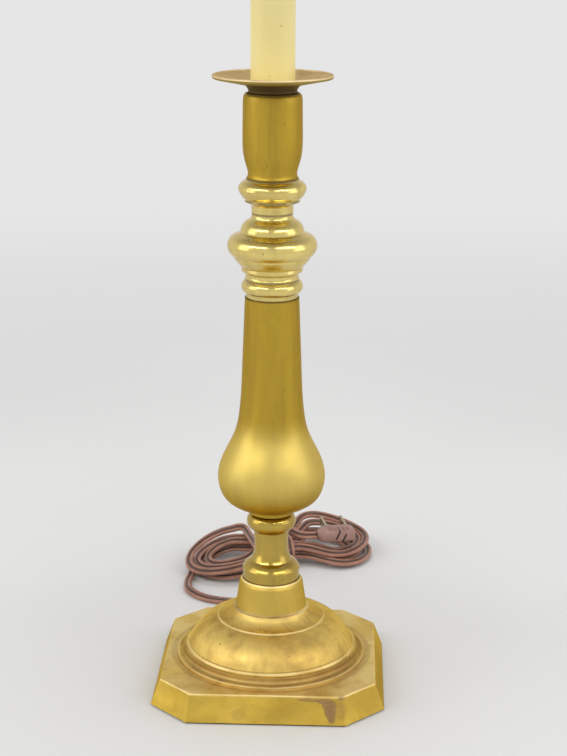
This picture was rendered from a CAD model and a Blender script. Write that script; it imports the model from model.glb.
from math import atan2, cos, hypot, pi, radians, sin
import bmesh
import bpy
from mathutils import Matrix, Vector


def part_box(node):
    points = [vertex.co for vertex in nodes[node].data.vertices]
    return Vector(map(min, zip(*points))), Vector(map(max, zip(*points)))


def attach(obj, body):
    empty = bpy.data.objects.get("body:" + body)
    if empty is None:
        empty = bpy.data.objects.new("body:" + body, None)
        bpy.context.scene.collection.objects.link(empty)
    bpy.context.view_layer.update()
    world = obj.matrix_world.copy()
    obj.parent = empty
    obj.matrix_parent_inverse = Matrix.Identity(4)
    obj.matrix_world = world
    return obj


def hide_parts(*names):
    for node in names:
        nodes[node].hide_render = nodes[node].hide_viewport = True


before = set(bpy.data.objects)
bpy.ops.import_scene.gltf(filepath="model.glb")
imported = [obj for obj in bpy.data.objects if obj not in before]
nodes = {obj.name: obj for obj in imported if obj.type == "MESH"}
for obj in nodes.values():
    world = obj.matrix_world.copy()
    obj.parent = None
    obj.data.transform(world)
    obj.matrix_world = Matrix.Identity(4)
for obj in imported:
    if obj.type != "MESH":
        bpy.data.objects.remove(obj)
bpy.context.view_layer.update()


# Camera
# The picture is 567 wide and 756 high, taken from a little above and to the right of the lamp's middle.
# The lens is worked out for the long side, which Blender takes for the sensor.
picture_high = 756
focal_px = 1737.8
camera_place = Vector((0.03804, -0.86311, 0.40972))
camera_forward = Vector((-0.03567, 0.96203, -0.27059))
camera_right = Vector((0.99925, 0.03850, 0.00518))
camera_data = bpy.data.cameras.new("camera")
camera_data.sensor_width = 36.0
camera_data.lens = focal_px * camera_data.sensor_width / picture_high
camera_data.clip_start = 0.01
camera = bpy.data.objects.new("camera", camera_data)
bpy.context.scene.collection.objects.link(camera)
camera_up = camera_right.cross(camera_forward)
turn = Matrix((camera_right, camera_up, -camera_forward)).transposed()
camera.matrix_world = Matrix.Translation(camera_place) @ turn.to_4x4()
bpy.context.scene.camera = camera


# Lamp cord
# Flat two-wire cord, brown and limp, that leaves the back of the base and is wound in a loose hank behind
# it: five turns in two layers. Its own end ties both necks of the hank and runs on to the plug.
cord_wide = 0.0050
cord_thick = 0.0025
wire_low = 0.0022
lead_route = [
    (0.0, 0.0608, 0.0075), (0.0, 0.0790, 0.0075), (-0.0150, 0.0925, wire_low), (-0.0405, 0.0950, wire_low),
    (-0.0550, 0.1085, wire_low), (-0.0568, 0.1240, wire_low), (-0.0548, 0.1360, wire_low),
]
hank_place = Vector((-0.002, 0.168, 0.0))
hank_turn = Matrix.Rotation(radians(26.0), 4, "Z")
lobe_radius = 0.026
lobe_reach = 0.0315
run_half = 0.007
waist_half = 0.015
wire_step = 0.00495
layer_step = 0.0051
waist_lift = 0.0049
reverse_turn = 2.5
first_angle = radians(154.0)
points_per_turn = 36
left_droop = 0.12
droop_from = 0.018
lift_share = 0.9
side_share = 0.32
end_early = 0.012
plug_level = 0.0176
neck_across = lobe_reach - run_half
neck_radius = (neck_across ** 2 + waist_half ** 2 - lobe_radius ** 2) / (2 * (lobe_radius - waist_half))
neck_bend = atan2(neck_across, waist_half + neck_radius)
run_length = 2 * run_half
neck_length = neck_bend * neck_radius
lobe_turn = pi / 2 + neck_bend
lobe_length = 2 * lobe_turn * lobe_radius
half_length = run_length + 2 * neck_length + lobe_length
loose_turns = [
    # millimetres outward, far side back, near side forward, far side up, near side up, end up
    (1.0, 0.0, 0.0, 0.0, 0.0, 0.0),
    (3.0, 0.0, 7.5, 2.0, 0.0, 0.0),
    (0.5, 0.0, 2.5, 1.5, 2.5, 0.3),
    (1.5, 0.0, 3.5, 3.0, 0.0, 0.3),
    (0.5, 0.0, 2.0, 2.0, 2.5, 0.3),
    (1.0, 0.0, 0.5, 4.0, 0.0, 0.5),
    (3.0, 0.0, 1.5, 2.0, 2.5, 0.3),
    (4.0, 1.5, 3.0, 5.0, -1.0, 1.5),
    (5.5, 0.5, 3.0, 2.0, 3.0, 0.0),
    (4.0, 3.5, 3.5, 7.5, -1.5, 3.0),
    (6.0, 0.5, 3.5, 1.2, 4.0, -1.0),
]


def eased(share):
    """Share that starts and ends slowly."""
    share = max(0.0, min(1.0, share))
    return share * share * (3 - 2 * share)


def hank_point(gone):
    """Place on the hank, a distance along the wire from the waist, each half turn loose in its own way."""
    turns = gone / (2 * half_length)
    inset = wire_step * (turns if turns < reverse_turn else 2 * reverse_turn - turns)
    along = gone % (2 * half_length)
    side = 1
    if along > half_length:
        along -= half_length
        side = -1
    reach = neck_radius + inset
    from_waist = max(0.0, min(along - run_length, half_length - along))
    lifted = 1 - 0.1 * min(1.0, from_waist / neck_length)
    height = layer_step * eased((gone - 2 * reverse_turn * half_length) / run_length)
    if along < run_length:
        u, v = side * (along - run_half), side * (waist_half - inset)
    elif from_waist < neck_length:
        a = from_waist / neck_radius
        u, v = run_half + reach * sin(a), waist_half + neck_radius - reach * cos(a)
        u, v = side * u, side * v * (1 if along < half_length / 2 else -1)
    else:
        outward, back, forward, far_up, near_up, end_up = [
            0.001 * size for size in loose_turns[int(gone // half_length) + 1]]
        share = (along - run_length - neck_length) / lobe_length
        a = lobe_turn * (1 - 2 * share) * side
        end = 1 - abs(a) / lobe_turn
        radius = lobe_radius - inset
        u = side * (lobe_reach + radius * cos(a) + outward * sin(pi * share) ** 2 * max(0.0, cos(a)))
        sideways = back * max(0.0, sin(a)) - forward * max(0.0, -sin(a))
        v = radius * sin(a) + eased(end / side_share) * sideways
        v -= left_droop * max(0.0, -u - droop_from)
        lifted = lift_share * (1 - end) ** 2
        hump = 6.75 * end * (1 - end) ** 2  # 1 at its top, a third of the way to the end
        height += (far_up if a > 0 else near_up) * hump + end_up * eased(end)
    return u, v, wire_low + waist_lift * lifted + height


def tie_ring(start, finish, lean, far_lean, far, near, top, corner=0.0026, shoulder=0.0045):
    """One wrap of the tie: over the top to the near side, down, back under and up again.

    It moves on from start to finish underneath, and leans along the hank as it goes out from the middle.
    """
    move_from = 6
    move_steps = 4
    half_way_up = (top + wire_low) / 2
    path = [
        (far * 0.45, top), (near * 0.45, top), (near + shoulder, top), (near, top - shoulder),
        (near, half_way_up), (near, wire_low + corner), (near + corner, wire_low), (near * 0.4, wire_low),
        (far * 0.4, wire_low), (far - corner, wire_low), (far, wire_low + corner), (far, half_way_up),
        (far, top - shoulder), (far - shoulder, top),
    ]
    ring = []
    for index, (v, z) in enumerate(path):
        share = max(0.0, min(1.0, (index - move_from) / move_steps))
        leaned = lean * min(0.0, v) + far_lean * max(0.0, v)
        ring.append((start + (finish - start) * share + leaned, v, z))
    return ring


def hank_route():
    """Loops, then a wrap at the left neck, one at the right neck and the bend to the plug."""
    step = 2 * half_length / points_per_turn
    start = -neck_length - lobe_radius * (first_angle - pi / 2 + neck_bend)
    finish = 4 * reverse_turn * half_length - neck_length - end_early
    count = round((finish - start) / step)
    points = []
    for index in range(count + 1):
        gone = start + (finish - start) * index / count
        u, v, z = hank_point(gone)
        z += waist_lift * eased((gone - (finish - lobe_length / 2)) / (lobe_length / 2))
        points.append((u, v, z))
    top = wire_low + 2 * waist_lift + layer_step
    points += [(-0.0190, 0.0238, 0.0165), (-0.0158, 0.0205, top)]
    points += tie_ring(-0.0195, 0.0035, lean=0.17, far_lean=0.17, far=0.0250, near=-0.0295, top=top)
    points += tie_ring(0.0035, 0.0088, lean=0.22, far_lean=0.0, far=0.0190, near=-0.0190, top=top)
    points += [(0.0094, 0.0020, top), (0.0110, -0.0065, top)]
    points += [(0.0150, -0.0108, plug_level), (0.0204, -0.0122, plug_level)]
    return [hank_turn @ Vector(p) + hank_place for p in points]


def nurbs_line(name, points):
    """Open quadratic NURBS curve on hand-set points."""
    curve = bpy.data.curves.new(name, "CURVE")
    curve.dimensions = "3D"
    curve.resolution_u = 6
    spline = curve.splines.new("NURBS")
    spline.points.add(len(points) - 1)
    for control, point in zip(spline.points, points):
        control.co = (*point, 1.0)
    spline.order_u = 3
    spline.use_endpoint_u = True
    return bpy.data.objects.new(name, curve)


def follow(curve):
    """Points along a curve that has no bevel."""
    bpy.context.scene.collection.objects.link(curve)
    bpy.context.view_layer.update()
    mesh = bpy.data.meshes.new_from_object(curve.evaluated_get(bpy.context.evaluated_depsgraph_get()))
    points = [v.co.copy() for v in mesh.vertices]
    bpy.data.objects.remove(curve)
    return points


def two_wire_section(wide, thick, sides):
    """Flat cord with a groove between its two wires, as places across it."""
    r = thick / 2
    offset = wide / 2 - r
    groove_edge = radians(148)
    ring = []
    for wire in (1, -1):
        for index in range(sides + 1):
            a = groove_edge * (2 * index / sides - 1)
            ring.append((wire * (offset + r * cos(a)), wire * r * sin(a)))
    return ring


def swept(name, points, section, face):
    """Tube of a section along points, its flat side turned to face a way where it can."""
    turn_share = 0.12
    bm = bmesh.new()
    tangents = []
    for index in range(len(points)):
        before, after = points[max(0, index - 1)], points[min(len(points) - 1, index + 1)]
        tangents.append((after - before).normalized())
    rings = []
    across = None
    for index, point in enumerate(points):
        along = tangents[index]
        wanted = along.cross(face)
        if wanted.length > 0.3:
            wanted.normalize()
            if across is None:
                across = wanted
            if across.dot(wanted) < 0:
                wanted = -wanted
            across = across.lerp(wanted, turn_share)
        if index:
            across = tangents[index - 1].rotation_difference(along) @ across
        across = (across - along * across.dot(along)).normalized()
        over = along.cross(across)
        rings.append([bm.verts.new(point + across * x + over * y) for x, y in section])
    for low, high in zip(rings, rings[1:]):
        for k in range(len(section)):
            n = (k + 1) % len(section)
            bm.faces.new((low[k], low[n], high[n], high[k]))
    bm.faces.new(list(reversed(rings[0])))
    bm.faces.new(rings[-1])
    bmesh.ops.recalc_face_normals(bm, faces=bm.faces)
    mesh = bpy.data.meshes.new(name)
    bm.to_mesh(mesh)
    bm.free()
    for polygon in mesh.polygons:
        polygon.use_smooth = len(polygon.vertices) == 4
    from_groove = mesh.attributes.new("from_groove", "FLOAT", "POINT")
    reach = max(abs(x) for x, y in section)
    for index, value in enumerate(from_groove.data):
        value.value = abs(section[index % len(section)][0]) / reach
    piece = bpy.data.objects.new(name, mesh)
    bpy.context.scene.collection.objects.link(piece)
    return piece


class Finish:
    """A procedural material under construction."""

    def __init__(self, name, **values):
        self.material = bpy.data.materials.new(name)
        self.material.use_nodes = True
        self.tree = self.material.node_tree
        self.shader = self.tree.nodes["Principled BSDF"]
        self.place = self.node("ShaderNodeTexCoord").outputs["Object"]
        for socket, value in values.items():
            self.shader.inputs[socket.replace("_", " ")].default_value = value

    def node(self, kind, **settings):
        made = self.tree.nodes.new(kind)
        for key, value in settings.items():
            setattr(made, key, value)
        return made

    def link(self, source, target):
        self.tree.links.new(source, target)

    def noise(self, scale, detail=3.0, stretch=(1, 1, 1), roughness=0.5):
        """Soft random cloud; a scale of 100 has lumps of about 10 mm."""
        mapping = self.node("ShaderNodeMapping")
        mapping.inputs["Scale"].default_value = stretch
        self.link(self.place, mapping.inputs["Vector"])
        made = self.node("ShaderNodeTexNoise")
        made.inputs["Scale"].default_value = scale
        made.inputs["Detail"].default_value = detail
        made.inputs["Roughness"].default_value = roughness
        self.link(mapping.outputs["Vector"], made.inputs["Vector"])
        return made.outputs["Fac"]

    def ramp(self, source, *stops):
        """Colours or greys between stops of (place, value)."""
        made = self.node("ShaderNodeValToRGB")
        steps = made.color_ramp.elements
        while len(steps) < len(stops):
            steps.new(0.5)
        for step, (where, value) in zip(steps, stops):
            step.position = where
            step.color = (*value, 1.0) if isinstance(value, tuple) else (value, value, value, 1.0)
        self.link(source, made.inputs["Fac"])
        return made.outputs["Color"]

    def mix(self, share, first, second):
        """First at a share of 0, second at 1; each is a socket or a colour."""
        made = self.node("ShaderNodeMix", data_type="RGBA")
        if isinstance(share, float):
            made.inputs["Factor"].default_value = share
        else:
            self.link(share, made.inputs["Factor"])
        for socket, value in (("A", first), ("B", second)):
            target = [s for s in made.inputs if s.name == socket and s.type == "RGBA"][0]
            if isinstance(value, tuple):
                target.default_value = (*value, 1.0)
            else:
                self.link(value, target)
        return [s for s in made.outputs if s.type == "RGBA"][0]

    def weaker(self, mask, strength):
        """A mask at a part of its strength."""
        return self.mix(1.0 - strength, mask, (0.0, 0.0, 0.0))

    def within(self, first, second):
        """Second mask where the first one is."""
        return self.mix(first, (0.0, 0.0, 0.0), second)

    def band(self, source, low, high, soften):
        """Mask that is 1 from low to high and fades out over a width beyond them."""
        fades = []
        for start, end in ((low - soften, low), (high + soften, high)):
            fade = self.node("ShaderNodeMapRange", interpolation_type="SMOOTHSTEP")
            fade.inputs["From Min"].default_value = start
            fade.inputs["From Max"].default_value = end
            self.link(source, fade.inputs["Value"])
            fades.append(fade.outputs["Result"])
        both = self.node("ShaderNodeMath", operation="MULTIPLY")
        self.link(fades[0], both.inputs[0])
        self.link(fades[1], both.inputs[1])
        return both.outputs["Value"]

    def height_and_radius(self):
        """Height above the floor and distance from the lamp's middle line."""
        apart = self.node("ShaderNodeSeparateXYZ")
        self.link(self.place, apart.inputs["Vector"])
        level = self.node("ShaderNodeCombineXYZ")
        self.link(apart.outputs["X"], level.inputs["X"])
        self.link(apart.outputs["Y"], level.inputs["Y"])
        radius = self.node("ShaderNodeVectorMath", operation="LENGTH")
        self.link(level.outputs["Vector"], radius.inputs[0])
        return apart.outputs["Z"], radius.outputs["Value"]

    def colour(self, source):
        self.link(source, self.shader.inputs["Base Color"])

    def rough(self, source):
        self.link(source, self.shader.inputs["Roughness"])

    def bump(self, source, depth):
        """Relief of a real depth in metres; more than one is stacked."""
        made = self.node("ShaderNodeBump")
        made.inputs["Distance"].default_value = depth
        self.link(source, made.inputs["Height"])
        if self.shader.inputs["Normal"].is_linked:
            self.link(self.shader.inputs["Normal"].links[0].from_socket, made.inputs["Normal"])
        self.link(made.outputs["Normal"], self.shader.inputs["Normal"])


cord_browns = ((0.3, (0.28, 0.126, 0.080)), (0.7, (0.42, 0.200, 0.136)))
cord_plastic = Finish("brown_cord_plastic", Roughness=0.42)
cord_tone = cord_plastic.ramp(cord_plastic.noise(90, 4), *cord_browns)
cord_dust = cord_plastic.ramp(cord_plastic.noise(420, 5), (0.55, 0.0), (0.8, 0.5))
cord_tone = cord_plastic.mix(cord_dust, cord_tone, (0.48, 0.33, 0.25))
from_groove = cord_plastic.node("ShaderNodeAttribute", attribute_name="from_groove").outputs["Fac"]
groove_dark = cord_plastic.ramp(from_groove, (0.12, 0.95), (0.55, 0.0))
cord_tone = cord_plastic.mix(groove_dark, cord_tone, (0.045, 0.018, 0.012))
cord_plastic.colour(cord_tone)
cord_plastic.rough(cord_plastic.ramp(cord_plastic.noise(200, 3), (0.3, 0.26), (0.7, 0.42)))
cord_plastic.bump(cord_plastic.noise(900, 3), 0.00008)
cord_line = follow(nurbs_line("cord_line", [Vector(p) for p in lead_route] + hank_route()))
up_and_front = Vector((0, -0.7, 0.7))
cord = swept("lamp_cord", cord_line, two_wire_section(cord_wide, cord_thick, 12), up_and_front)
cord.data.materials.append(cord_plastic.material)


# Plug
# Flat angle plug moulded on the cord's end in brown rubbery plastic, with grip ridges on both faces.
# Its two flat pins are folded from plated brass strip.
plug_long = 0.024
plug_back = 0.0080
plug_front = -0.0056
plug_tail = 0.0070
plug_taper = 0.0065
plug_thick = 0.0078
plug_corner = 0.0022
plug_bend = 0.0032
plug_heading = radians(12.0)
edge_steps = 12
grip_count = 5
grip_from = 0.36
grip_step = 0.115
grip_half_thick = 0.0006
grip_half_long = 0.0045
grip_sunk = 0.0002
grip_shoulder = 0.0005
grip_high = 0.0008
slot_half = 0.0005
slot_places = (-0.0022, 0.0022)
slot_lean = radians(26)
to_plug_middle = 0.0145


def rounded_outline(corners, radius, steps):
    """Closed outline with its corners taken off by short curves."""
    ring = []
    for before, corner, after in zip(corners[-1:] + corners[:-1], corners, corners[1:] + corners[:1]):
        corner = Vector(corner)
        start = corner + (Vector(before) - corner).normalized() * radius
        end = corner + (Vector(after) - corner).normalized() * radius
        for index in range(steps + 1):
            t = index / steps
            ring.append(start * (1 - t) ** 2 + corner * 2 * t * (1 - t) + end * t * t)
    return ring


def stacked(bm, rings):
    """Skin over rings of equal count, closed at both ends."""
    made = [[bm.verts.new(p) for p in ring] for ring in rings]
    for low, high in zip(made, made[1:]):
        for k in range(len(low)):
            n = (k + 1) % len(low)
            bm.faces.new((low[k], low[n], high[n], high[k]))
    bm.faces.new(list(reversed(made[0])))
    bm.faces.new(made[-1])


def finished(name, bm, body, material, smooth_below=radians(40)):
    """Puts a bmesh in the scene as a piece that rides on a body."""
    bmesh.ops.recalc_face_normals(bm, faces=bm.faces)
    mesh = bpy.data.meshes.new(name)
    bm.to_mesh(mesh)
    bm.free()
    mesh.materials.append(material)
    mesh.shade_smooth()
    mesh.set_sharp_from_angle(angle=smooth_below)
    piece = bpy.data.objects.new(name, mesh)
    bpy.context.scene.collection.objects.link(piece)
    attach(piece, body)
    return piece


def dress(finish, *names):
    """Puts a finish on parts that keep their own shape."""
    for name in names:
        for place in nodes[name].material_slots:
            place.material = finish.material


plug_corners = [
    (0.0, -plug_tail / 2), (plug_taper, plug_front), (plug_long, plug_front),
    (plug_long, plug_back), (plug_taper, plug_back), (0.0, plug_tail / 2),
]
bm = bmesh.new()
plug_rings = []
for index in range(edge_steps + 1):
    a = radians(-90 + 180 * index / edge_steps)
    edge = plug_corner * (1 - cos(a))
    level = (index > edge_steps / 2) - (index < edge_steps / 2)
    height = sin(a) * plug_corner + (plug_thick / 2 - plug_corner) * level
    outline = rounded_outline(plug_corners, plug_bend, 5)
    middle = Vector((plug_long * 0.54, (plug_front + plug_back) / 2))
    shrink = 1 - edge * 2 / (plug_back - plug_front)
    plug_rings.append([(*(middle + (p - middle) * shrink), height) for p in outline])
stacked(bm, plug_rings)
for side in (1, -1):
    for index in range(grip_count):
        x = plug_long * grip_from + index * plug_long * grip_step
        turns = [radians(30 * k) for k in range(12)]
        grip = [(x + grip_half_thick * cos(a), grip_half_long * sin(a)) for a in turns]
        surface = side * (plug_thick / 2 - grip_sunk)
        stacked(bm, [[(px, py, surface) for px, py in grip],
                     [(px, py, surface + side * grip_shoulder) for px, py in grip],
                     [(x + (px - x) * 0.6, py * 0.94, surface + side * grip_high) for px, py in grip]])
bmesh.ops.transform(
    bm, matrix=Matrix.Translation(cord_line[-1]) @ Matrix.Rotation(plug_heading, 4, "Z"), verts=bm.verts)
plug_rubber = Finish("brown_plug_rubber", Roughness=0.5)
plug_tone = plug_rubber.ramp(
    plug_rubber.noise(160, 4), (0.3, (0.30, 0.165, 0.135)), (0.7, (0.40, 0.235, 0.20)))
plug_middle = cord_line[-1] + to_plug_middle * Vector((cos(plug_heading), sin(plug_heading), 0))
slot_place = plug_rubber.node("ShaderNodeMapping", vector_type="TEXTURE")
slot_place.inputs["Location"].default_value = plug_middle
slot_place.inputs["Rotation"].default_value = (0, slot_lean, plug_heading)
plug_rubber.link(plug_rubber.place, slot_place.inputs["Vector"])
slot_along = plug_rubber.node("ShaderNodeSeparateXYZ")
plug_rubber.link(slot_place.outputs["Vector"], slot_along.inputs["Vector"])
on_front = plug_rubber.band(slot_along.outputs["Y"], -0.0080, 0.0010, 0.0010)
in_middle = plug_rubber.band(slot_along.outputs["Z"], -0.0028, 0.0028, 0.0006)
for slot in slot_places:
    across_slot = plug_rubber.band(slot_along.outputs["X"], slot - slot_half, slot + slot_half, 0.0003)
    sunk = plug_rubber.within(on_front, plug_rubber.within(in_middle, across_slot))
    plug_tone = plug_rubber.mix(sunk, plug_tone, (0.045, 0.022, 0.018))
plug_rubber.colour(plug_tone)
plug_rubber.rough(plug_rubber.ramp(plug_rubber.noise(300, 3), (0.3, 0.42), (0.7, 0.6)))
plug_rubber.bump(plug_rubber.noise(1500, 2), 0.00005)
plug = finished("plug", bm, "lamp", plug_rubber.material)
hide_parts("plug_body")
pin_metal = Finish("plated_pin", Metallic=1.0)
pin_metal.colour(pin_metal.ramp(
    pin_metal.noise(300, 4), (0.35, (0.46, 0.38, 0.24)), (0.7, (0.58, 0.51, 0.36))))
pin_metal.rough(pin_metal.ramp(pin_metal.noise(1.0, 4, (200, 200, 2500)), (0.3, 0.22), (0.7, 0.42)))
dress(pin_metal, "plug_blades")
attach(cord, "lamp")
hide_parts("cord_lead", "cord_hank")


# Base
# One brass casting: octagonal plate with a flared skirt, stepped dome and tapering collar, turned above
# and left to tarnish. A water stain runs down the front of the skirt, and the hollows are brown.
def brass(name, bright, dull, brown, tarnish, roughness, stretch=(1, 1, 1), joints=()):
    """Brass with tarnish in clouds, brown blotches, specks, fine scratches and grime at the joints."""
    finish = Finish(name, Metallic=1.0)
    finish.shader.inputs["Specular Tint"].default_value = (0.80, 0.66, 0.36, 1.0)
    cloud = finish.ramp(finish.noise(17, 6, stretch, 0.62), (0.34, 0.0), (0.66, 1.0))
    tone = finish.mix(cloud, bright, dull)
    grime = finish.ramp(finish.noise(36, 8, stretch, 0.68), (tarnish, 0.0), (tarnish + 0.2, 0.7))
    tone = finish.mix(grime, tone, brown)
    mottle = finish.ramp(finish.noise(210, 5, (1, 1, 0.5), 0.6), (0.30, 0.22), (0.62, 0.0))
    tone = finish.mix(mottle, tone, brown)
    finish.height, finish.radius = finish.height_and_radius()
    for joint in joints:
        seam = finish.band(finish.height, joint - 0.0002, joint + 0.0002, 0.0007)
        tone = finish.mix(finish.weaker(seam, 0.7), tone, (0.11, 0.065, 0.02))
    specks = finish.ramp(finish.noise(340, 3), (0.705, 0.0), (0.75, 0.8))
    streaks = finish.ramp(finish.noise(130, 4, (1, 1, 0.04), 0.6), (0.52, 0.0), (0.66, 0.4))
    tone = finish.mix(streaks, tone, brown)
    finish.tone = finish.mix(specks, tone, (0.13, 0.07, 0.025))
    finish.colour(finish.tone)
    smear = finish.noise(42, 8, stretch, 0.72)
    scratch = finish.noise(1.0, 5, (60, 60, 1600), 0.6)
    marks = finish.mix(0.3, smear, scratch)
    finish.rough(finish.ramp(marks, (0.32, roughness), (0.66, roughness + 0.16)))
    finish.bump(finish.noise(8, 3), 0.0007)
    finish.bump(finish.noise(150, 4), 0.00003)
    finish.bump(scratch, 0.00001)
    return finish


dome_top = 0.0417
rubbed_skirt = (0.0, 0.0132)
rubbed_collar = (0.0428, 0.0600)
hollows = ((0.0466, 0.0480), (0.0508, 0.0530))
over_plate = (0.0149, 0.0260)
cast_brass = brass(
    "cast_brass", (0.92, 0.68, 0.21), (0.76, 0.53, 0.13), (0.45, 0.27, 0.085), 0.46, 0.40,
    joints=(dome_top,))
polish = cast_brass.mix(
    cast_brass.ramp(cast_brass.noise(26, 7, (1, 1, 2), 0.62), (0.38, 0.0), (0.62, 1.0)),
    (0.71, 0.48, 0.056), (0.48, 0.315, 0.038))
for (low, high), rubbed_tone in ((rubbed_skirt, polish), (rubbed_collar, (0.56, 0.395, 0.070))):
    rubbed = cast_brass.weaker(cast_brass.band(cast_brass.height, low, high, 0.0008), 0.75)
    cast_brass.tone = cast_brass.mix(rubbed, cast_brass.tone, rubbed_tone)
wear = cast_brass.ramp(cast_brass.noise(55, 5), (0.38, 0.25), (0.60, 1.0))
worn_edges = (
    # measured up or out from the middle line, from, to, fading over
    (cast_brass.height, 0.0142, 0.0148, 0.0004),
    (cast_brass.radius, 0.0496, 0.0504, 0.0005),
    (cast_brass.radius, 0.0443, 0.0449, 0.0005),
    (cast_brass.radius, 0.0280, 0.0286, 0.0004),
    (cast_brass.height, 0.0412, 0.0418, 0.0004),
    (cast_brass.height, 0.0567, 0.0580, 0.0004),
)
for measure, low, high, soften in worn_edges:
    edge = cast_brass.within(wear, cast_brass.band(measure, low, high, soften))
    cast_brass.tone = cast_brass.mix(edge, cast_brass.tone, (0.95, 0.75, 0.34))
for low, high in hollows:
    hollow = cast_brass.weaker(cast_brass.band(cast_brass.radius, low, high, 0.0012), 0.55)
    above_plate = cast_brass.band(cast_brass.height, *over_plate, 0.0004)
    hollow = cast_brass.within(above_plate, hollow)
    cast_brass.tone = cast_brass.mix(hollow, cast_brass.tone, (0.30, 0.17, 0.07))


def stain(finish, middle, size, soften):
    """Mask of a patch with a ragged outline, round a place on the surface."""
    ragged_by = 0.6
    edge_at = 0.62
    mapping = finish.node("ShaderNodeMapping", vector_type="TEXTURE")
    mapping.inputs["Location"].default_value = middle
    mapping.inputs["Scale"].default_value = size
    finish.link(finish.place, mapping.inputs["Vector"])
    reach = finish.node("ShaderNodeVectorMath", operation="LENGTH")
    finish.link(mapping.outputs["Vector"], reach.inputs[0])
    ragged = finish.node("ShaderNodeMath", operation="MULTIPLY_ADD")
    finish.link(finish.noise(330, 6, (1, 1, 1), 0.6), ragged.inputs[0])
    ragged.inputs[1].default_value = ragged_by
    finish.link(reach.outputs["Value"], ragged.inputs[2])
    halved = finish.node("ShaderNodeMath", operation="MULTIPLY")
    finish.link(ragged.outputs["Value"], halved.inputs[0])
    halved.inputs[1].default_value = 0.5
    return finish.ramp(halved.outputs["Value"], (edge_at, 1.0), (edge_at + soften, 0.0))


skirt_front = -0.0605
stains = (
    # middle, half sizes, strength
    ((0.0225, skirt_front, 0.0128), (0.0080, 0.006, 0.0011), 0.65),
    ((0.0300, skirt_front, 0.0124), (0.0070, 0.006, 0.0016), 0.8),
    ((0.0322, skirt_front, 0.0106), (0.0044, 0.006, 0.0026), 0.8),
    ((0.0327, skirt_front, 0.0080), (0.0033, 0.006, 0.0030), 0.8),
    ((0.0333, skirt_front, 0.0058), (0.0024, 0.006, 0.0028), 0.75),
    ((0.0337, skirt_front, 0.0036), (0.0017, 0.006, 0.0018), 0.75),
    ((0.0405, skirt_front, 0.0138), (0.0052, 0.006, 0.0016), 0.7),
    ((0.0385, skirt_front, 0.0085), (0.0032, 0.006, 0.0052), 0.3),
    ((-0.0140, skirt_front, 0.0052), (0.0040, 0.006, 0.0026), 0.22),
)
for middle, size, strength in stains:
    patch = cast_brass.weaker(stain(cast_brass, middle, size, 0.07), strength)
    cast_brass.tone = cast_brass.mix(patch, cast_brass.tone, (0.34, 0.205, 0.095))
cast_brass.colour(cast_brass.tone)
dress(cast_brass, "base_casting")
felt = Finish("brown_felt", Roughness=0.95)
felt.colour(felt.ramp(felt.noise(700, 5), (0.3, (0.045, 0.028, 0.018)), (0.7, (0.085, 0.055, 0.036))))
felt.shader.inputs["Sheen Weight"].default_value = 0.4
felt.bump(felt.noise(1800, 4), 0.0003)
dress(felt, "felt_pad")


# Hardware in the base
# Zinc-plated washer and nut on the threaded steel rod, a black moulded bushing in the skirt's back, and
# the cord's own run through base and rod.
steel = Finish("zinc_steel", Metallic=1.0)
steel.colour(steel.ramp(steel.noise(120, 5), (0.35, (0.42, 0.43, 0.44)), (0.7, (0.58, 0.58, 0.56))))
steel.rough(steel.ramp(steel.noise(300, 4), (0.3, 0.28), (0.7, 0.5)))
steel.bump(steel.noise(1.0, 2, (3, 3, 700)), 0.0002)
dress(steel, "base_washer", "base_nut", "threaded_rod")
bushing_plastic = Finish("black_bushing", Roughness=0.45)
bushing_plastic.colour(bushing_plastic.ramp(
    bushing_plastic.noise(260, 4), (0.3, (0.018, 0.017, 0.016)), (0.7, (0.040, 0.037, 0.034))))
bushing_plastic.bump(bushing_plastic.noise(1200, 2), 0.00006)
dress(bushing_plastic, "cord_bushing")
inner_plastic = Finish("inner_cord_plastic", Roughness=0.4)
inner_plastic.colour(inner_plastic.ramp(inner_plastic.noise(90, 4), *cord_browns))
inner_plastic.bump(inner_plastic.noise(900, 3), 0.00008)
dress(inner_plastic, "inner_cord")


# Column
# Brass turnings threaded on the rod from the collar to the pan, drawn together by the nut in the base. The
# knops and the stem keep their polish, the long baluster and the cup are satin with faint streaks of
# tarnish, and the pan is dull with old wax and heat.
joints = (0.0574, 0.0934, 0.2100, 0.2194, 0.2532, 0.2596, 0.2708)
rod_bore = 5.4
lathe_sides = 160
belly = (0.1190, 0.1310)
cup_lip = (0.3127, 0.3132)
cup_mouth = (0.3134, 0.3200)
pan_nozzle = (0.2900, 0.3158)
pan_foot_radius = 0.0185
satin_brass = brass(
    "satin_brass", (0.52, 0.35, 0.037), (0.43, 0.28, 0.026), (0.33, 0.20, 0.030), 0.50, 0.36,
    (1, 1, 0.14), joints)
satin_brass.shader.inputs["Coat Weight"].default_value = 0.2
satin_brass.shader.inputs["Coat Roughness"].default_value = 0.12
satin_brass.bump(satin_brass.noise(55, 2, (1, 1, 0.7)), 0.00016)
handled = satin_brass.weaker(satin_brass.band(satin_brass.height, *belly, 0.0180), 0.55)
satin_brass.tone = satin_brass.mix(handled, satin_brass.tone, (0.86, 0.68, 0.20))
cup_rim = satin_brass.band(satin_brass.height, *cup_lip, 0.0003)
satin_brass.tone = satin_brass.mix(cup_rim, satin_brass.tone, (0.90, 0.74, 0.34))
under_pan = satin_brass.weaker(satin_brass.band(satin_brass.height, *cup_mouth, 0.0008), 0.8)
satin_brass.colour(satin_brass.mix(under_pan, satin_brass.tone, (0.13, 0.085, 0.03)))


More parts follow.
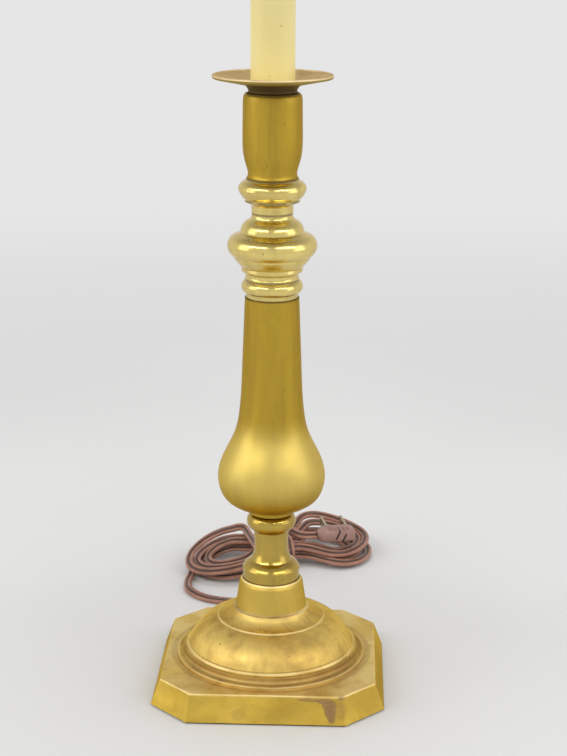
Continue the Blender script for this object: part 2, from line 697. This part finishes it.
def faired(points, steps):
    """Smooth profile through points, bent as evenly as a lathe tool leaves it."""
    points = [Vector(p) for p in points]
    spans = [(b - a).length for a, b in zip(points, points[1:])]
    bends = [Vector((0.0, 0.0)) for p in points]
    for sweep in range(60):
        for i in range(1, len(points) - 1):
            before, after = spans[i - 1], spans[i]
            pull = 6 * ((points[i + 1] - points[i]) / after - (points[i] - points[i - 1]) / before)
            bends[i] = (pull - before * bends[i - 1] - after * bends[i + 1]) / (2 * (before + after))
    curve = []
    for i, span in enumerate(spans):
        for step in range(steps):
            t = step / steps
            bend = ((1 - t) ** 3 - (1 - t)) * bends[i] + (t ** 3 - t) * bends[i + 1]
            curve.append(points[i] * (1 - t) + points[i + 1] * t + bend * span * span / 6)
    return curve + [points[-1]]


def turned_piece(name, node, profile):
    """Turning on the lamp's middle line, from a profile of radius and height in millimetres."""
    low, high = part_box(node)
    outline = [(rod_bore, low.z * 1000), *profile, (rod_bore, high.z * 1000)]
    turns = [2 * pi * k / lathe_sides for k in range(lathe_sides)]
    bm = bmesh.new()
    rings = []
    for r, z in outline:
        rings.append([bm.verts.new((0.001 * r * cos(a), 0.001 * r * sin(a), 0.001 * z)) for a in turns])
    for lower, upper in zip(rings, rings[1:] + rings[:1]):
        for k in range(lathe_sides):
            n = (k + 1) % lathe_sides
            bm.faces.new((lower[k], lower[n], upper[n], upper[k]))
    piece = finished(name, bm, "lamp", satin_brass.material, radians(28))
    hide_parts(node)


baluster_foot = [(10.6, 93.4), (11.9, 94.0), (12.3, 96.4)]
baluster_side = [
    (12.3, 96.45), (16.3, 97.35), (19.6, 98.95), (24.4, 102.6), (27.3, 108.5), (28.05, 115.2),
    (26.35, 122.8), (22.2, 131.6), (19.3, 138.0), (17.65, 144.0), (16.75, 150.0), (16.1, 157.0),
    (15.6, 166.0), (15.2, 176.5), (14.75, 188.0), (14.3, 199.5), (13.9, 210.0),
]
turned_piece("turned_baluster", "baluster", baluster_foot + faired(baluster_side, 8))
cup_side = [
    (13.2, 270.85), (12.5, 272.2), (12.45, 274.2), (13.6, 278.4), (14.65, 283.0), (15.05, 288.5),
    (15.05, 295.0), (14.95, 302.0), (14.9, 307.0), (14.75, 310.6), (14.2, 312.5), (13.2, 313.3),
    (12.4, 313.58),
]
turned_piece("turned_cup", "candle_cup", [(13.0, 270.8), *faired(cup_side, 8), (12.2, 313.6)])
polished_brass = brass(
    "polished_brass", (0.82, 0.67, 0.22), (0.73, 0.57, 0.16), (0.48, 0.33, 0.07), 0.54, 0.12,
    (1, 1, 0.5), joints)
polished_brass.shader.inputs["Coat Weight"].default_value = 1.0
polished_brass.shader.inputs["Coat Roughness"].default_value = 0.05
dress(polished_brass, "large_knop", "upper_knop")
stem_brass = brass(
    "stem_brass", (0.53, 0.37, 0.052), (0.43, 0.29, 0.036), (0.34, 0.21, 0.036), 0.52, 0.17,
    (1, 1, 0.3), joints)
stem_brass.shader.inputs["Coat Weight"].default_value = 0.8
stem_brass.shader.inputs["Coat Roughness"].default_value = 0.06
dress(stem_brass, "spool_stem")
dull_brass = brass("dull_brass", (0.90, 0.74, 0.47), (0.80, 0.63, 0.37), (0.55, 0.39, 0.19), 0.56, 0.42)
dull_brass.shader.inputs["Metallic"].default_value = 0.7
facing = dull_brass.node("ShaderNodeSeparateXYZ")
dull_brass.link(dull_brass.node("ShaderNodeNewGeometry").outputs["Normal"], facing.inputs["Vector"])
underside = dull_brass.band(facing.outputs["Z"], -1.1, -0.15, 0.3)
dull_brass.tone = dull_brass.mix(underside, dull_brass.tone, (0.34, 0.25, 0.06))
foot = dull_brass.within(underside, dull_brass.band(dull_brass.radius, 0.0, pan_foot_radius, 0.0050))
dull_brass.tone = dull_brass.mix(foot, dull_brass.tone, (0.13, 0.085, 0.03))
nozzle = dull_brass.band(dull_brass.height, *pan_nozzle, 0.0005)
dull_brass.colour(dull_brass.mix(nozzle, dull_brass.tone, (0.10, 0.065, 0.024)))
dress(dull_brass, "drip_pan")


# Candle sleeve
# Plastic tube in aged cream that hides the rod, closed on top by a pressed brass ring.
sleeve_plastic = Finish("cream_sleeve", Roughness=0.34)
sleeve_tone = sleeve_plastic.ramp(
    sleeve_plastic.noise(30, 4, (1, 1, 0.3)), (0.3, (0.97, 0.81, 0.31)), (0.7, (0.99, 0.86, 0.39)))
sleeve_dirt = sleeve_plastic.ramp(sleeve_plastic.noise(420, 3), (0.72, 0.0), (0.78, 0.6))
sleeve_plastic.colour(sleeve_plastic.mix(sleeve_dirt, sleeve_tone, (0.35, 0.22, 0.10)))
sleeve_plastic.rough(sleeve_plastic.ramp(sleeve_plastic.noise(90, 4), (0.3, 0.28), (0.7, 0.44)))
sleeve_plastic.shader.inputs["Subsurface Weight"].default_value = 0.12
sleeve_plastic.shader.inputs["Subsurface Radius"].default_value = (0.004, 0.003, 0.0015)
sleeve_plastic.bump(sleeve_plastic.noise(1.0, 3, (260, 260, 9)), 0.00006)
dress(sleeve_plastic, "candle_sleeve")
fitting_brass = brass("fitting_brass", (0.78, 0.58, 0.20), (0.68, 0.49, 0.15), (0.45, 0.29, 0.09), 0.66, 0.2)
dress(fitting_brass, "sleeve_cap")


# Harp
# Brassed steel saddle under the socket, wire harp in its two uprights, held by a sliding sleeve each side,
# and a threaded stud on its crown.
dress(fitting_brass, "harp_saddle", "harp", "harp_stud", "ferrule_left", "ferrule_right")


# Socket
# Pressed brass cap and shell with a paper liner, round a black moulded core with the screw shell, the
# contact and two terminal screws. The turn key is black plastic.
dress(fitting_brass, "socket_cap", "socket_shell", "terminal_screws", "centre_contact")
core_plastic = Finish("black_core", Roughness=0.4)
core_plastic.colour(core_plastic.ramp(
    core_plastic.noise(200, 4), (0.3, (0.020, 0.016, 0.013)), (0.7, (0.045, 0.036, 0.03))))
core_plastic.bump(core_plastic.noise(900, 3), 0.00006)
dress(core_plastic, "socket_core", "switch_key")
liner_paper = Finish("paper_liner", Roughness=0.9)
liner_paper.colour(liner_paper.ramp(
    liner_paper.noise(500, 5, (1, 1, 0.2)), (0.3, (0.30, 0.20, 0.11)), (0.7, (0.42, 0.30, 0.18))))
liner_paper.bump(liner_paper.noise(900, 4), 0.0001)
dress(liner_paper, "socket_liner")
shell_metal = Finish("screw_shell_brass", Metallic=1.0)
shell_metal.colour(shell_metal.ramp(
    shell_metal.noise(150, 4), (0.3, (0.62, 0.50, 0.28)), (0.7, (0.74, 0.62, 0.38))))
shell_metal.rough(shell_metal.ramp(shell_metal.noise(400, 4), (0.3, 0.25), (0.7, 0.4)))
dress(shell_metal, "screw_shell")


# Bulb
# Frosted glass pear on an aluminium screw cap, with a soldered contact under it and a glass stem inside.
bulb_frost = Finish("frosted_glass", Roughness=0.38)
bulb_frost.colour(bulb_frost.ramp(
    bulb_frost.noise(60, 3), (0.3, (0.93, 0.93, 0.91)), (0.7, (0.97, 0.97, 0.95))))
bulb_frost.shader.inputs["Transmission Weight"].default_value = 0.2
bulb_frost.shader.inputs["Coat Weight"].default_value = 0.3
bulb_frost.shader.inputs["Coat Roughness"].default_value = 0.08
bulb_frost.bump(bulb_frost.noise(2500, 2), 0.00003)
dress(bulb_frost, "bulb_glass", "bulb_mount")
cap_metal = Finish("aluminium_cap", Metallic=1.0)
cap_metal.colour(cap_metal.ramp(
    cap_metal.noise(140, 4), (0.3, (0.66, 0.66, 0.66)), (0.7, (0.78, 0.78, 0.77))))
cap_metal.rough(cap_metal.ramp(cap_metal.noise(500, 4), (0.3, 0.24), (0.7, 0.42)))
dress(cap_metal, "bulb_cap", "bulb_contact")


# Shade cloth
# Ivory linen bonded to a stiff white liner, cut as part of a ring and rolled into a cone, with one
# overlapped seam at the back.
cloth_low, cloth_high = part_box("shade_fabric")
cloth_thick = 0.0012
cloth_sides = 240
cloth_rows = 48
shade_bottom_radius = 0.140
shade_top_radius = 0.066
shade_middle_radius = 0.1
seam_wide = 0.008
linen_thread = 0.0007


def shade_radius(z):
    """Outside radius of the cone at a height."""
    share = (z - cloth_low.z) / (cloth_high.z - cloth_low.z)
    return shade_bottom_radius + (shade_top_radius - shade_bottom_radius) * share


def cone_band(bm, low, high, rows, sides, outside, thick, start=0.0, sweep=2 * pi):
    """Closed band round the cone between two heights, a distance outside it."""
    full = sweep > 2 * pi - 0.001
    count = sides if full else sides + 1
    grids = []
    for skin in (outside, outside - thick):
        grid = []
        for row in range(rows + 1):
            z = low + (high - low) * row / rows
            r = shade_radius(z) + skin
            turns = [start + sweep * k / sides for k in range(count)]
            grid.append([bm.verts.new((r * cos(a), r * sin(a), z)) for a in turns])
        grids.append(grid)
    outer, inner = grids
    for grid in grids:
        for low_row, high_row in zip(grid, grid[1:]):
            for k in range(sides):
                n = (k + 1) % count
                bm.faces.new((low_row[k], low_row[n], high_row[n], high_row[k]))
    for row in (0, rows):
        for k in range(sides):
            n = (k + 1) % count
            bm.faces.new((outer[row][k], outer[row][n], inner[row][n], inner[row][k]))
    if not full:
        for k in (0, sides):
            for row in range(rows):
                bm.faces.new((outer[row][k], outer[row + 1][k], inner[row + 1][k], inner[row][k]))


def woven(finish, thread, slub_light, slub_dark):
    """Plain weave with slubs, in threads round the cone and up it."""
    apart = finish.node("ShaderNodeSeparateXYZ")
    finish.link(finish.place, apart.inputs["Vector"])
    angle = finish.node("ShaderNodeMath", operation="ARCTAN2")
    finish.link(apart.outputs["Y"], angle.inputs[0])
    finish.link(apart.outputs["X"], angle.inputs[1])

    def threads(source, per_unit):
        turned = finish.node("ShaderNodeMath", operation="MULTIPLY")
        finish.link(source, turned.inputs[0])
        turned.inputs[1].default_value = per_unit
        wave = finish.node("ShaderNodeMath", operation="SINE")
        finish.link(turned.outputs[0], wave.inputs[0])
        return wave.outputs[0]

    round_threads = threads(apart.outputs["Z"], pi / thread)
    up_threads = threads(angle.outputs[0], round(pi * shade_middle_radius / thread))
    woven_height = finish.node("ShaderNodeMath", operation="MULTIPLY")
    finish.link(round_threads, woven_height.inputs[0])
    finish.link(up_threads, woven_height.inputs[1])
    around = finish.node("ShaderNodeCombineXYZ")
    finish.link(angle.outputs[0], around.inputs["X"])
    finish.link(apart.outputs["Z"], around.inputs["Y"])

    def slubs(stretch, detail):
        mapping = finish.node("ShaderNodeMapping")
        mapping.inputs["Scale"].default_value = stretch
        finish.link(around.outputs["Vector"], mapping.inputs["Vector"])
        noise = finish.node("ShaderNodeTexNoise")
        noise.inputs["Scale"].default_value = 1.0
        noise.inputs["Detail"].default_value = detail
        finish.link(mapping.outputs["Vector"], noise.inputs["Vector"])
        return noise.outputs["Fac"]

    across_slubs = slubs((7, 1100, 1), 3)
    up_slubs = slubs((110, 45, 1), 3)
    tone = finish.mix(finish.ramp(across_slubs, (0.35, 0.0), (0.65, 1.0)), slub_dark, slub_light)
    tone = finish.mix(finish.ramp(up_slubs, (0.30, 0.35), (0.60, 0.0)), tone, slub_dark)
    finish.colour(tone)
    finish.rough(finish.ramp(up_slubs, (0.3, 0.78), (0.7, 0.92)))
    finish.bump(woven_height.outputs[0], 0.00012)
    finish.bump(across_slubs, 0.00025)
    return finish


linen = woven(Finish("ivory_linen", Roughness=0.85), linen_thread, (0.82, 0.78, 0.68), (0.68, 0.63, 0.52))
linen.shader.inputs["Sheen Weight"].default_value = 0.15
bm = bmesh.new()
cone_band(bm, cloth_low.z, cloth_high.z, cloth_rows, cloth_sides, 0.0, cloth_thick)
shade_cloth = finished("shade_cloth", bm, "shade", linen.material)
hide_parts("shade_fabric")
bm = bmesh.new()
seam_sweep = seam_wide / shade_middle_radius
seam_end = 0.001
seam_proud = 0.0005
cone_band(bm, cloth_low.z + seam_end, cloth_high.z - seam_end, cloth_rows, 6, seam_proud, seam_proud,
          pi / 2 - seam_sweep / 2, seam_sweep)
shade_seam = finished("shade_seam", bm, "shade", linen.material)


# Shade trims
# Narrow linen tape glued round both edges of the cone, over the cloth.
tape_thread = 0.0005
tape_proud = 0.0008
tape_thick = 0.0007
tape = woven(Finish("linen_tape", Roughness=0.85), tape_thread, (0.80, 0.75, 0.64), (0.66, 0.60, 0.48))
for name in ("shade_top_trim", "shade_bottom_trim"):
    tape_low, tape_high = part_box(name)
    bm = bmesh.new()
    cone_band(bm, tape_low.z, tape_high.z, 6, cloth_sides, tape_proud, tape_thick)
    piece = finished(name.replace("trim", "tape"), bm, "shade", tape.material)
    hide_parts(name)


# Shade wires and finial
# Brassed wire ring and three-armed spider that carry the cloth, and a turned solid brass nut above them.
dress(fitting_brass, "shade_spider", "shade_bottom_ring", "finial")


# Floor and light
# Wide pale floor that fades into a room of the same tone, so that no edge shows from any side. A wide soft
# light hangs above, two long strip lights stand high in front, and a soft light stands at each side.
room_tone = 0.79
floor_radius = 9.0
fade_from = 0.45
fade_to = 1.5
bm = bmesh.new()
bmesh.ops.create_circle(bm, cap_ends=True, segments=96, radius=floor_radius)
floor_mesh = bpy.data.meshes.new("floor")
bm.to_mesh(floor_mesh)
bm.free()
floor = bpy.data.objects.new("floor", floor_mesh)
bpy.context.scene.collection.objects.link(floor)
floor_paint = Finish("pale_floor", Roughness=0.7)
floor_paint.colour(floor_paint.ramp(
    floor_paint.noise(3, 4), (0.3, (0.77, 0.77, 0.76)), (0.7, (0.80, 0.80, 0.79))))
far_floor = floor_paint.node("ShaderNodeEmission")
far_floor.inputs["Color"].default_value = (room_tone, room_tone, room_tone, 1.0)
fade = floor_paint.node("ShaderNodeMapRange", interpolation_type="SMOOTHSTEP")
fade.inputs["From Min"].default_value = fade_from
fade.inputs["From Max"].default_value = fade_to
floor_paint.link(floor_paint.height_and_radius()[1], fade.inputs["Value"])
blend = floor_paint.node("ShaderNodeMixShader")
floor_paint.link(fade.outputs["Result"], blend.inputs["Fac"])
floor_paint.link(floor_paint.shader.outputs["BSDF"], blend.inputs[1])
floor_paint.link(far_floor.outputs["Emission"], blend.inputs[2])
floor_paint.link(blend.outputs["Shader"], floor_paint.tree.nodes["Material Output"].inputs["Surface"])
floor.data.materials.append(floor_paint.material)


def soft_light(name, place, aim, wide, high, watts):
    """Rectangular lamp that faces a point."""
    data = bpy.data.lights.new(name, "AREA")
    data.shape = "RECTANGLE"
    data.size = wide
    data.size_y = high
    data.energy = watts
    light = bpy.data.objects.new(name, data)
    bpy.context.scene.collection.objects.link(light)
    light.location = place
    light.rotation_euler = (Vector(aim) - Vector(place)).to_track_quat("-Z", "Y").to_euler()


soft_light("top_light", (0.1, 0.1, 2.2), (0, 0, 0.1), 1.5, 1.4, 10)
for side in (-1, 1):
    soft_light("strip_light", (side * 1.10, -1.15, 1.45), (side * 0.5, 0, 0.2), 1.6, 0.14, 8)
    soft_light("side_light", (side * 1.5, -0.35, 0.75), (0, 0, 0.25), 0.9, 1.1, 3.5 - 0.5 * side)
room = bpy.data.worlds.new("room")
room.use_nodes = True
room_nodes, room_links = room.node_tree.nodes, room.node_tree.links
room_place = room_nodes.new("ShaderNodeTexCoord")
room_height = room_nodes.new("ShaderNodeSeparateXYZ")
room_light = room_nodes.new("ShaderNodeValToRGB")
room_links.new(room_place.outputs["Generated"], room_height.inputs["Vector"])
room_links.new(room_height.outputs["Z"], room_light.inputs["Fac"])
room_light.color_ramp.elements[0].color = (room_tone, room_tone, room_tone, 1.0)
room_light.color_ramp.elements[0].position = 0.30
room_light.color_ramp.elements[1].color = (0.48, 0.48, 0.49, 1.0)
room_light.color_ramp.elements[1].position = 0.75
room_links.new(room_light.outputs["Color"], room_nodes["Background"].inputs["Color"])
bpy.context.scene.world = room
bpy.context.scene.view_settings.view_transform = "Standard"
